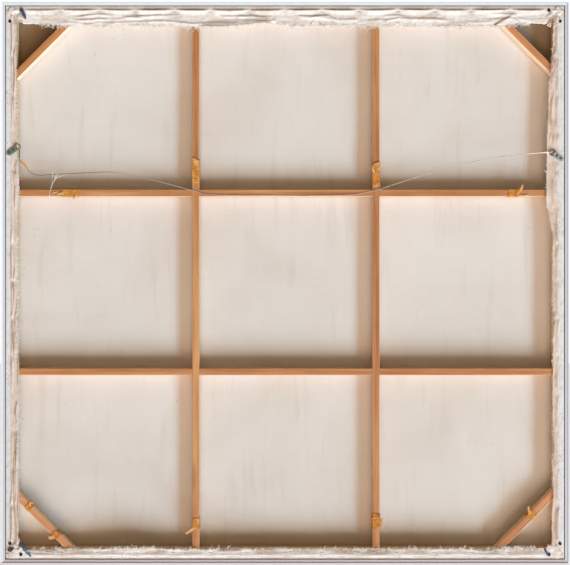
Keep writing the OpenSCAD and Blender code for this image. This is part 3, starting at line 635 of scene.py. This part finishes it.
def flap_shape(side, s, d, w):
    """Lift of the folded cloth off the bar, and its darkening, both per point: painted shade in its creases and folds,
    and real soiling specks.
    """
    seed = {"top": 100, "bottom": 120, "left": 140, "right": 160}[side]
    half = SIDES[side][3]
    cell = np.floor(s / STAPLE_PITCH)
    lens = np.abs(np.sin(math.pi * s / STAPLE_PITCH + 0.25 * noise1(s / 60, seed + 12))) ** 0.6
    rate = 0.85 + 0.4 * noise1(cell * 3.7 + 11, seed)
    tall = {"top": 6.2, "bottom": 4.6, "left": 4.6, "right": 5.6}[side]
    crest = {"top": 9.4, "bottom": 9.5, "left": 14.0, "right": 16.0}[side] + 3.0 * lens + 1.0 * noise1(s / 70, seed + 1)
    upright = side in ("left", "right")
    if upright:
        lens = 0.35 + 0.65 * smooth(noise1(s / 110, seed + 13), -0.5, 0.3)
    lift = tall * rate * lens * ridge(d, crest, {"top": 8.5, "bottom": 7.0}.get(side, 4.5), 7.0 if upright else 12.0)
    deep = {"top": 1.0, "bottom": 0.9, "left": 0.6}.get(side, 0.5)
    # Painted shade: darker on the outer side of each pleat, which faces away from the low lamps, up to its crest
    worn_and_shaded = deep * lens * rate * smooth(d, crest - 5.0, crest - 0.6) ** 1.5 * (1 - smooth(d, crest - 0.3, crest + 0.7))
    for number, (gap, height, pitch) in enumerate([(13.0, 3.2, 150.0), (23.5, 2.9, 118.0), (33.0, 2.4, 170.0)]):
        on = smooth(noise1(s / pitch * 2.0 + 7 * number, seed + 3 + number), -0.15, 0.45)
        where = crest + gap + 7.0 * noise1(s / 85, seed + 6 + number) + 2.5 * noise1(s / 27, seed + 16 + number)
        if upright:
            where = crest + 0.5 * gap + 4.5 * noise1(s / 95, seed + 6 + number) + 2.2 * noise1(s / 32, seed + 16 + number)
        lift = lift + height * (1.9 if upright else 1.0) * on * ridge(d, where, 2.4 if upright else 4.5, 6.0 if upright else 9.0)
        # The same painted shade on the outer side of each lesser pleat
        worn_and_shaded = worn_and_shaded + {"top": 0.5, "bottom": 0.54}.get(side, 0.36) * on * smooth(d, where - 3.0, where - 0.6) * (1 - smooth(d, where - 0.3, where + 0.6))
    lift = lift + 0.9 * (0.5 + 0.5 * noise2(s / 34, d / 6.5, seed + 10)) + 0.4 * noise2(s / 8, d / 4.5, seed + 11)
    lift = lift * smooth(d, 1.5, 6.0)
    # Drag lines run in to each staple from both sides
    beat = s / STAPLE_PITCH - np.floor(s / STAPLE_PITCH)
    drag = np.minimum(beat, 1 - beat) * STAPLE_PITCH
    spoke = smooth(noise1(np.floor(s / STAPLE_PITCH + 0.5) * 5.3, seed + 20), -0.2, 0.6)
    for slope in (0.42, 0.9):
        lift = lift + 1.9 * spoke * np.exp(-((d - STAPLE_INSET - 4 - slope * drag) / 2.2) ** 2) * smooth(drag, 3, 12) * (1 - smooth(drag, 26, 44))
    near = (s / STAPLE_PITCH - np.round(s / STAPLE_PITCH)) * STAPLE_PITCH
    held = np.abs(np.round(s / STAPLE_PITCH)) <= 6
    pinch = np.where(held, np.exp(-(near / 10.0) ** 2 - ((d - STAPLE_INSET) / 6.5) ** 2), 0)
    lift = lift * (1 - pinch)
    if side == "top":
        span = smooth(s, -246, -215) * (1 - smooth(s, -52, -30))
        valley = np.interp(s, [-250, -215, -160, -95, -30], [52, 43, 34, 29, 27])
        curl = span * np.clip((d - valley) / np.maximum(w - valley, 4), 0, 1)
        lift = np.where(span > 0, lift * (1 - 0.6 * smooth(curl, 0, 0.2)) + 3.4 * curl, lift)
        worn_and_shaded = worn_and_shaded + 0.26 * span * smooth(curl, 0.0, 0.12)
        fold = np.exp(-(((s - 600) + 1.5 * (d - 36)) / 12.0) ** 2) * smooth(d, 20, 34)
        lift = lift + 3.0 * fold * np.sign(s - 600 + 1.5 * (d - 36) + 1e-6) * 0.5 + 1.5 * fold
        # Painted shade in the slanting fold
        worn_and_shaded = worn_and_shaded + 0.5 * fold * (d < w - 2)
    if side == "bottom":
        span = smooth(s, -500, -470) * (1 - smooth(s, -370, -345))
        lift = lift + span * 5.5 * smooth(d, 17, 30)
        # Painted shade under the lifted loose fold
        worn_and_shaded = worn_and_shaded + 0.4 * span * smooth(d, 18, 24)
    if side == "right":
        bulge = np.exp(-((s + MID_Z - 1012) / 26) ** 2)
        lift = lift * (1 - 0.7 * bulge) + 3.0 * bulge * smooth(d, 14, 24)
    # Soiling specks along the cut edge
    speckle = smooth(noise2(s / 2.6, d / 1.7, seed + 25), 0.25, 0.55) * smooth(noise1(s / 95, seed + 26), -0.3, 0.5)
    worn_and_shaded = worn_and_shaded + {"top": 0.6, "bottom": 0.95}.get(side, 0.45) * speckle * smooth(d, w - 13, w - 6)
    hanger = {"left": 1132.0, "right": 1116.0}.get(side)
    if hanger:
        plate = np.exp(-(((s + MID_Z - hanger) / 31) ** 4))
        lift = lift * (1 - plate)
    hold = np.zeros_like(lift)
    for along in (half - 42.0, -half + 42.0):
        hold = np.maximum(hold, np.exp(-(((s - along) / 9.0) ** 2) - ((d - 12.0) / 9.0) ** 2))
    corner = smooth(half - d - np.abs(s), 0, 14)
    lift = np.clip(lift, 0, 7.0) * (1 - hold) * corner
    worn_and_shaded = np.clip(worn_and_shaded, 0, 1) * (1 - hold) * corner
    return lift, worn_and_shaded


def wing(piece, side, count):
    along, inward, middle, half = SIDES[side]
    s0 = np.linspace(-half, half, count)
    rows, tags = [], []
    for y in (CLOTH_FRONT, 19.5, 14, 7, 0, -7, -13, -16.6):
        bow = 0.25 * noise1(s0 / 30, 70) * (1 if -16 < y < 19 else 0)
        x = middle[0] + along[0] * s0 + inward[0] * np.abs(bow)
        z = middle[1] + along[1] * s0 + inward[1] * np.abs(bow)
        rows.append(np.stack([x, np.full(count, y), z], axis=1))
        tags.append(np.zeros(count))
    w0 = flap_width(side, s0)
    seed = {"top": 200, "bottom": 210, "left": 220, "right": 230}[side]
    ragged = 1.8 * noise1(s0 / 7, seed) + 1.5 * noise1(s0 / 2.8, seed + 1)
    w0 = w0 + ragged * (1.0 if side in ("top", "bottom") else 0.6)
    late = 13.4
    steps = max(6, int((np.mean(w0) - late) / (2.1 if side in ("top", "bottom") else 1.3)))
    for j in range(len(EARLY_ROWS) + steps):
        d = np.full(count, EARLY_ROWS[j]) if j < len(EARLY_ROWS) else late + (w0 - late) * (j - len(EARLY_ROWS) + 1) / steps
        s = s0 * (half - d) / half
        lift, worn_and_shaded = flap_shape(side, s, d, w0)
        if j == len(EARLY_ROWS) + steps - 1:
            worn_and_shaded = np.clip(worn_and_shaded * 0.4, 0, 1)
        y = CLOTH_BACK + max(0.0, 0.9 - EARLY_ROWS[0]) * (j == 0) - lift
        x = middle[0] + along[0] * s + inward[0] * d
        z = middle[1] + along[1] * s + inward[1] * d
        rows.append(np.stack([x, y, z], axis=1))
        tags.append(worn_and_shaded)
    piece.grid(np.array(rows), tag=np.array(tags), flip=side in ("top", "left"))
    return rows[-1]


def front(piece, across, up, fine):
    """The flat face, with coarse squares inside and fine points along its edges."""
    xs = np.linspace(-HALF_X, HALF_X, across * fine + 1)
    zs = np.linspace(LOW_Z, HIGH_Z, up * fine + 1)
    inside = lambda x, z: min(1.0, max(0.0, (min(HALF_X - abs(x), z - LOW_Z, HIGH_Z - z) - 34) / 60))
    index, verts = {}, []

    def point(i, j):
        if (i, j) not in index:
            x, z = xs[i], zs[j]
            sway = 0.7 * noise2(x / 120, z / 170, 81) + 0.35 * noise2(x / 42, z / 90, 82) + 0.12 * noise2(x / 16, z / 60, 83)
            index[i, j] = len(verts)
            verts.append((x, CLOTH_FRONT + float(sway) * inside(x, z), z))
        return index[i, j]

    faces = []
    for i in range(across):
        for j in range(up):
            a, b, c, d = i * fine, (i + 1) * fine, j * fine, (j + 1) * fine
            low = [(k, c) for k in (range(a, b) if j == 0 else (a,))]
            right = [(b, k) for k in (range(c, d) if i == across - 1 else (c,))]
            top = [(k, d) for k in (range(b, a, -1) if j == up - 1 else (b,))]
            left = [(a, k) for k in (range(d, c, -1) if i == 0 else (d,))]
            faces.append([point(*q) for q in low + right + top + left][::-1])
    piece.add(verts, faces, 2)


ACROSS, UP, FINE = 122, 120, 5
cloth = Piece()
front(cloth, ACROSS, UP, FINE)
edges = {side: wing(cloth, side, (ACROSS if side in ("top", "bottom") else UP) * FINE + 1) for side in SIDES}
canvas = cloth.build("stretched_canvas", [PRIMED, RAW, GESSO, RAW], "root", "canvas_cloth", merge=0.02)
thicken(canvas, 0.9, 1)
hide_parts("canvas")


def fringe(side, count, reach, seed):
    """Short loose threads along the cut edge of a flap."""
    p = Piece()
    rng = np.random.default_rng(seed)
    line = edges[side]
    inward = SIDES[side][1]
    along = SIDES[side][0]
    n = len(line)
    for at in np.sort(rng.uniform(0.03, 0.97, count)):
        where = line[int(at * (n - 1))]
        long = rng.gamma(2.2, reach / 2.2)
        lean = rng.normal(0, 0.7)
        curl = rng.normal(0, 0.9)
        out = rng.uniform(-0.1, 0.5)
        pts = []
        for t in np.linspace(-0.25, 1, 6):
            go = long * t
            side_go = go * lean * 0.5 + curl * go * abs(t) * 0.6
            pts.append((where[0] + inward[0] * go + along[0] * side_go, where[1] - out * max(0, go) * 0.6 - 0.2,
                        where[2] + inward[1] * go + along[1] * side_go))
        p.tube(pts, rng.uniform(0.4, 1.05), 4, taper=lambda t: 1 - 0.65 * t)
    return p.build("frayed_threads_" + side, [FIBRE], "root", "canvas_cloth")


threads = [fringe("top", 1500, 5.0, 301), fringe("bottom", 900, 3.8, 302), fringe("left", 380, 3.4, 303), fringe("right", 200, 2.8, 304)]


def tab(piece, centre, size, turn, lift, seed, slot=0, sharp=0.0):
    """A crumpled corner of cloth folded flat over the others: a ragged patch, crowned and creased."""
    n, m = 16, 14
    u, v = np.meshgrid(np.linspace(-1, 1, n), np.linspace(-1, 1, m), indexing="ij")
    rag_u = 1 + 0.07 * noise1(v * 6 + seed, seed) + 0.04 * noise1(v * 15, seed + 1)
    rag_v = (1 + 0.08 * noise1(u * 6 + seed, seed + 2) + 0.05 * noise1(u * 15, seed + 3)) * (1 - sharp * (u * 0.5 + 0.5))
    a, b = u * rag_u * size[0] / 2, v * rag_v * size[1] / 2
    rim = np.maximum(np.abs(u), np.abs(v))
    h = lift + 1.6 * noise2(u * 2.2 + seed, v * 1.6, seed + 4) * (1 - 0.5 * rim) + 0.8 * noise2(u * 5, v * 4 + seed, seed + 5)
    h = np.maximum(h - 1.2 * rim ** 6, 0.55)
    c, s = math.cos(math.radians(turn)), math.sin(math.radians(turn))
    x, z = centre[0] + a * c - b * s, centre[1] + a * s + b * c
    # Painted shade: darker in the low hollows of the crumple and along the folded rim
    worn_and_shaded = np.clip(0.5 * smooth(-noise2(u * 2.2 + seed, v * 1.6, seed + 4), 0.2, 0.7) + 0.3 * (rim > 0.96), 0, 1)
    piece.grid(np.stack([x, CLOTH_BACK - h, z], axis=2), slot, worn_and_shaded, flip=True)


folds = Piece()
for (cx, cz, sx, sz, turn, lift, seed, sharp) in [
    (-738, 1499, 46, 30, 135, 1.9, 401, 0.2), (-722, 1490, 22, 14, 118, 2.4, 402, 0.5), (-749, 1508, 24, 18, 20, 1.3, 403, 0.0),
    (738, 1500, 46, 28, 45, 1.9, 411, 0.2), (724, 1474, 17, 12, 60, 2.3, 412, 0.1), (748, 1508, 26, 18, 160, 1.3, 413, 0.0),
    (744, 1478, 30, 16, 80, 2.2, 414, 0.2),
    (-742, 36, 40, 30, 50, 1.8, 421, 0.15), (-733, 56, 30, 13, 72, 2.6, 422, 0.1), (-748, 26, 30, 15, 35, 2.4, 423, 0.1),
    (-727, 38, 22, 12, 40, 3.0, 424, 0.3),
    (738, 34, 44, 26, 130, 1.6, 431, 0.1), (730, 44, 28, 14, 170, 2.0, 432, 0.2),
]:
    tab(folds, (cx, cz), (sx, sz), turn, lift, seed, 0, sharp)
folds = folds.build("corner_folds", [PRIMED, RAW], "root", "canvas_cloth")
thicken(folds, 0.8, 1)

# ---- Tape on the braces ----


class Band:
    """Tape on a brace: along it from its middle point, across it, and out from its back face."""

    def __init__(self, middle, way):
        self.middle, self.way = np.array(middle, float), np.array(way, float) / np.linalg.norm(way)
        self.side = np.array([self.way[1], -self.way[0]])
        self.piece = Piece()

    def place(self, a, b, y):
        x = self.middle[0] + a * self.way[0] + b * self.side[0]
        z = self.middle[1] + a * self.way[1] + b * self.side[1]
        return np.stack([x, y, z], axis=-1)

    def wrap(self, low, high, left_y, right_y, layer, seed, skew=0.0, rag=2.5, curl=(0, 0), worn_and_shaded=0.0):
        """A turn of tape over the back face and down both sides to the given depths."""
        half, back = BRACE_T / 2 + 0.35 + 0.3 * layer, BRACE_Y - 0.35 - 0.3 * layer
        path = [(-half, left_y)]
        path += [(-half + 1.2 - 1.2 * math.cos(t), back + 1.2 - 1.2 * math.sin(t)) for t in np.linspace(0, math.pi / 2, 4)]
        path += [(b, back) for b in np.linspace(-half + 3, half - 3, 7)]
        path += [(half - 1.2 + 1.2 * math.sin(t), back + 1.2 - 1.2 * math.cos(t)) for t in np.linspace(0, math.pi / 2, 4)]
        path += [(half, right_y)]
        full, _ = resample([(b, y, 0) for b, y in path], 1.6, False)
        n = len(full)
        k = np.arange(n)
        start = low + rag * noise1(k / 3.1, seed) + 0.6 * rag * noise1(k / 1.1, seed + 1) + skew * full[:, 0]
        stop = high + rag * noise1(k / 2.9, seed + 2) + 0.6 * rag * noise1(k / 1.2, seed + 3) + skew * full[:, 0]
        m = 22
        t = np.linspace(0, 1, m)[:, None]
        a = start[None, :] * (1 - t) + stop[None, :] * t
        out_b = np.where(np.abs(full[:, 0]) > half - 0.4, np.sign(full[:, 0]), 0.0)[None, :]
        out_y = -np.where(full[:, 1] < back + 0.9, 1.0, 0.0)[None, :]
        crease = 0.45 * np.abs(noise2(a / 5.0, k[None, :] / 3.0, seed + 4)) + 0.25 * np.abs(noise2(a / 2.2, k[None, :] / 7.0, seed + 5))
        lift = crease + curl[0] * np.clip((0.3 - t) / 0.3, 0, 1) ** 2 + curl[1] * np.clip((t - 0.7) / 0.3, 0, 1) ** 2
        b = full[None, :, 0] + out_b * lift
        y = full[None, :, 1] + out_y * lift
        tag = np.clip(worn_and_shaded + 0.5 * smooth(noise2(a / 6.0, k[None, :] / 5.0, seed + 6), 0.45, 0.8), 0, 1)
        self.piece.grid(self.place(a, b, y), tag=tag)
        return self

    def ribbon(self, points, width, seed, worn_and_shaded=0.0, twist=0.0):
        """A loose strip of torn tape along points given as (along, across, y)."""
        line, _ = resample(points, 1.6)
        n = len(line)
        t = np.arange(n) / (n - 1)
        way = np.gradient(line, axis=0)
        way /= np.linalg.norm(way, axis=1)[:, None]
        across = np.cross(way, [0, 0, 1.0])
        across /= np.maximum(np.linalg.norm(across, axis=1), 0.05)[:, None]
        other = np.cross(way, across)
        angle = twist * t
        rows = []
        for k in np.linspace(-1, 1, 6):
            half = width / 2 * (1 - 0.5 * t ** 3) + 0.6 * noise1(np.arange(n) / 1.7 + 5 * k, seed)
            offset = (np.cos(angle)[:, None] * across + np.sin(angle)[:, None] * other) * (k * half)[:, None]
            bump = 0.35 * noise2(np.arange(n) / 2.0, np.full(n, k * 2.2), seed + 1)
            q = line + offset
            rows.append(self.place(q[:, 0], q[:, 1], q[:, 2] + bump))
        self.piece.grid(np.array(rows), tag=worn_and_shaded)
        return self

    def done(self, name, node):
        obj = self.piece.build(name, [TAPE], "root", "masking_tape")
        thicken(obj, 0.2)
        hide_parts(node)
        return obj


def corner_place(corner):
    leg = CORNER_LEGS[corner]
    left, low = "left" in corner, "bottom" in corner
    x = (-1 if left else 1) * (OVERALL_W / 2 - BAR_INNER - leg / 2)
    z = BAR_INNER + leg / 2 if low else OVERALL_H - BAR_INNER - leg / 2
    return (x, z), (-1 if left else 1, 1 if low else -1)


band = Band((UPRIGHT_X[0], 1071), (0, 1))
band.wrap(-33, 32, 12, 13, 0, 501).wrap(-30, 10, 6, 10, 1, 505, 0.15, 3.0).wrap(8, 34, 9, 4, 1, 509, -0.25, 3.0, (0, 1.2), 0.1)
band.ribbon([(-10, 2, -18.2), (-14, 5, -19.2), (-20, 7, -19.5), (-27, 6, -19.0)], 7, 513, 0.35)
band.done("tape_left_upright_torn", "tape_upright_left")

band = Band((UPRIGHT_X[1], 1060), (0, 1))
band.wrap(-30, 31, 12, 13, 0, 521, 0.1).wrap(-26, 6, 9, 8, 1, 525, -0.2, 3.5, (2.2, 0)).wrap(2, 33, 7, 11, 1, 529, 0.3, 3.0, (0, 1.8), 0.1)
band.ribbon([(8, -4, -18.4), (14, -8, -20.0), (22, -9.5, -21.2), (29, -7, -20.5)], 6, 533, 0.3)
band.ribbon([(-18, 3, -18.2), (-24, 8, -20.0), (-30, 10, -20.5)], 6, 535, 0.1)
band.done("tape_right_upright_torn", "tape_upright_right")

band = Band((0, CROSS_Z[1]), (1, 0))
band.wrap(-612, -566, 10, 12, 0, 541).wrap(-606, -580, 6, 9, 1, 545, 0.25, 3.0, (0, 0.8))
band.ribbon([(-604, 0, -18.0), (-612, 1.5, -18.6), (-622, 3, -18.2)], 8, 547, 0.45)
band.ribbon([(-574, 5, -18.2), (-573, 9, -18.9), (-577, 14, -18.4), (-580, 17, -17.4)], 5, 549, 0.6)
band.done("tape_cross_left_torn", "tape_cross_left")

band = Band((0, CROSS_Z[1]), (1, 0))
band.wrap(609, 640, 10, 12, 0, 551, 0.1).wrap(612, 634, 7, 6, 1, 555, -0.2, 2.5, (0.6, 1.4))
band.ribbon([(634, 0, -18.0), (642, -6, -19.6), (647, -14, -21.0), (649, -22, -21.6)], 9, 557, 0.1, 0.4)
band.ribbon([(641, 6, -17.6), (650, 8, -18.4), (660, 7, -18.2), (667, 6, -17.4)], 5, 559, 0.6)
band.done("tape_cross_right_torn", "tape_cross_right")

band = Band((UPRIGHT_X[0], 107), (0, 1))
band.wrap(-16, 17, 8, 10, 0, 561, 0.15, 3.0)
band.ribbon([(-8, -4, -17.8), (-16, -12, -18.6), (-22, -20, -18.2), (-26, -27, -17.6)], 8, 563, 0.55)
band.done("tape_left_foot_torn", "tape_upright_left_foot")

band = Band((UPRIGHT_X[1], 113), (0, 1))
band.wrap(-20, 21, 8, 10, 0, 571, -0.1, 3.0, (0, 0.8)).wrap(-14, 14, 7, 9, 1, 573, 0.3, 3.0, (1.2, 1.0))
band.ribbon([(14, 6, -18.2), (6, 12, -19.4), (-4, 14, -19.2), (-12, 12, -18.4)], 7, 575, 0.2)
band.done("tape_right_foot_torn", "tape_upright_right_foot")

band = Band(*corner_place("bottom_left"))
band.wrap(47, 63, 8, 10, 0, 581, 0.1, 2.0, (0.8, 1.2))
band.ribbon([(56, 4, -18.0), (60, 12, -20.0), (56, 17, -21.5), (50, 14, -21.0)], 8, 583, 0.1, 0.8)
band.done("tape_corner_left_high_torn", "tape_corner_left_high")

band = Band(*corner_place("bottom_left"))
band.wrap(-61, -41, 8, 10, 0, 591, -0.15, 2.5, (0.6, 1.0))
band.ribbon([(-50, -6, -18.0), (-47, -14, -18.8), (-40, -21, -18.2)], 11, 593, 0.45)
band.done("tape_corner_left_low_torn", "tape_corner_left_low")

band = Band(*corner_place("bottom_right"))
band.wrap(9, 33, 8, 10, 0, 601, 0.1, 2.5, (0.5, 0.8))
band.ribbon([(20, -6, -18.0), (24, -13, -19.4), (28, -20, -20.2), (33, -25, -20.6)], 8, 603, 0.25)
band.done("tape_corner_right_torn", "tape_corner_right")

# ---- Paint marks on the corners ----


def smear(name, points, width, stops):
    """A raised stroke of old paint, tapering at both ends."""
    f = Finish(name + "_paint", roughness=0.4, Coat_Weight=0.2)
    rough = f.noise(f.place, 300, 3, 0.6)
    coat = f.mix(f.ramp(rough, [(0.4, 0.0), (0.8, 0.35)]), f.ramp(f.wear(), stops), rgb(150, 140, 140))
    material = f.paint(coat, rough, 0.5, 0.001)
    line, _ = resample(points, 1.5)
    n = len(line)
    t = np.arange(n) / (n - 1)
    way = np.gradient(line, axis=0)
    way /= np.linalg.norm(way, axis=1)[:, None]
    across = np.cross(way, [0, 1, 0])
    across /= np.linalg.norm(across, axis=1)[:, None]
    shape = np.interp(t, [0, 0.12, 0.35, 0.75, 1], [0.35, 0.95, 1.0, 0.85, 0.3])
    piece = Piece()
    rows, tags = [], []
    for k in np.linspace(-1, 1, 9):
        half = width / 2 * shape * (1 + 0.16 * noise1(np.arange(n) / 3 + 9 * k, 71))
        crown = 1.3 * shape * (1 - k * k) ** 0.5 * (1 + 0.2 * noise1(np.arange(n) / 2, 72))
        q = line + across * (k * half)[:, None]
        q[:, 1] -= crown
        rows.append(q)
        tags.append(t)
    piece.grid(np.array(rows), tag=np.array(tags))
    obj = piece.build(name, [material], "root", "black_steel")
    thicken(obj, 0.3)
    return obj


NAVY, TEAL, BLUE, INK = rgb(22, 24, 46), rgb(30, 88, 98), rgb(78, 108, 150), rgb(30, 22, 34)
smear("paint_bottom_left", [(-727, -18.6, 60), (-718, -19.4, 48), (-706, -20.2, 33), (-694, -20.4, 19)], 13,
      [(0.0, NAVY), (0.3, NAVY), (0.5, TEAL), (0.78, BLUE), (0.92, rgb(44, 56, 92)), (1.0, NAVY)])
smear("paint_left_foot", [(-757, -21.4, 35), (-748, -21.9, 38), (-740, -21.9, 41)], 11, [(0.0, INK), (0.5, NAVY), (1.0, rgb(60, 22, 40))])
smear("paint_top_left", [(-722, -21.2, 1518), (-717, -21.0, 1508), (-708, -20.8, 1486)], 9, [(0.0, INK), (1.0, rgb(36, 40, 74))])
smear("paint_bottom_right", [(709, -20.4, 41), (714, -20.4, 30), (719, -20.0, 19)], 6,
      [(0.0, INK), (0.5, rgb(66, 62, 120)), (1.0, rgb(104, 104, 170))])

# ---- Light, floor and background ----


def sun(name, towards, share, spread):
    """A distant lamp; share is what it adds to a surface that faces the camera, or for the front lamp the front."""
    way = np.array(towards, float)
    way /= np.linalg.norm(way)
    facing = abs(way[1])
    data = bpy.data.lights.new(name, "SUN")
    strength = max(share) * math.pi / facing
    data.energy = strength
    data.color = [c / max(share) for c in share]
    data.angle = math.radians(spread)
    lamp = bpy.data.objects.new(name, data)
    from mathutils import Vector
    lamp.rotation_euler = Vector(way).to_track_quat("Z", "Y").to_euler()
    lamp.location = Vector(way) * 4 + Vector((0, 0, 0.767))
    SCENE.collection.objects.link(lamp)
    return lamp


sun("key_from_below", (0.05, -1.0, -0.98), (0.27, 0.195, 0.14), 32)
sun("low_from_below", (-0.15, -0.56, -1.32), (0.265, 0.265, 0.28), 48)
sun("key_from_right", (1.22, -1.0, -1.0), (0.125, 0.19, 0.24), 12)
sun("low_from_right", (1.32, -1.0, -1.9), (0.125, 0.195, 0.27), 17)
sun("front_lamp", (0.35, 0.8, 0.5), (0.60, 0.61, 0.62), 20)

world = bpy.data.worlds.new("studio")
world.use_nodes = True
SCENE.world = world
wt = world.node_tree
wt.nodes.clear()
path = wt.nodes.new("ShaderNodeLightPath")
seen = wt.nodes.new("ShaderNodeMath")
seen.operation = "MAXIMUM"
wt.links.new(path.outputs["Is Camera Ray"], seen.inputs[0])
wt.links.new(path.outputs["Is Glossy Ray"], seen.inputs[1])
seen2 = wt.nodes.new("ShaderNodeMath")
seen2.operation = "MAXIMUM"
wt.links.new(seen.outputs[0], seen2.inputs[0])
wt.links.new(path.outputs["Is Transmission Ray"], seen2.inputs[1])
fill = wt.nodes.new("ShaderNodeBackground")
fill.inputs["Color"].default_value = (0.16, 0.11, 0.045, 1)
white = wt.nodes.new("ShaderNodeBackground")
white.inputs["Color"].default_value = (1, 1, 1, 1)
choose = wt.nodes.new("ShaderNodeMixShader")
out = wt.nodes.new("ShaderNodeOutputWorld")
wt.links.new(seen2.outputs[0], choose.inputs[0])
wt.links.new(fill.outputs[0], choose.inputs[1])
wt.links.new(white.outputs[0], choose.inputs[2])
wt.links.new(choose.outputs[0], out.inputs["Surface"])

floor = Piece()
R = 9000.0
floor.add([(-R, -R, 0), (R, -R, 0), (R, R, 0), (-R, R, 0)], [[0, 1, 2, 3]])
floor_finish = bpy.data.materials.new("pale_floor")
floor_finish.use_nodes = True
ft = floor_finish.node_tree
base = ft.nodes["Principled BSDF"]
base.inputs["Base Color"].default_value = rgb(240, 240, 240)
base.inputs["Roughness"].default_value = 0.9
glow = ft.nodes.new("ShaderNodeEmission")
glow.inputs["Color"].default_value = (1, 1, 1, 1)
glow.inputs["Strength"].default_value = 1.0
fpath = ft.nodes.new("ShaderNodeLightPath")
share = ft.nodes.new("ShaderNodeMath")
share.operation = "MAXIMUM"
ft.links.new(fpath.outputs["Is Camera Ray"], share.inputs[0])
ft.links.new(fpath.outputs["Is Glossy Ray"], share.inputs[1])
amount = ft.nodes.new("ShaderNodeMath")
amount.operation = "MULTIPLY"
amount.inputs[1].default_value = 0.6
ft.links.new(share.outputs[0], amount.inputs[0])
both = ft.nodes.new("ShaderNodeMixShader")
ft.links.new(amount.outputs[0], both.inputs[0])
ft.links.new(base.outputs[0], both.inputs[1])
ft.links.new(glow.outputs[0], both.inputs[2])
ft.links.new(both.outputs[0], ft.nodes["Material Output"].inputs["Surface"])
floor = floor.build("floor", [floor_finish], None)
floor.visible_shadow = False

SCENE.view_settings.view_transform = "Standard"
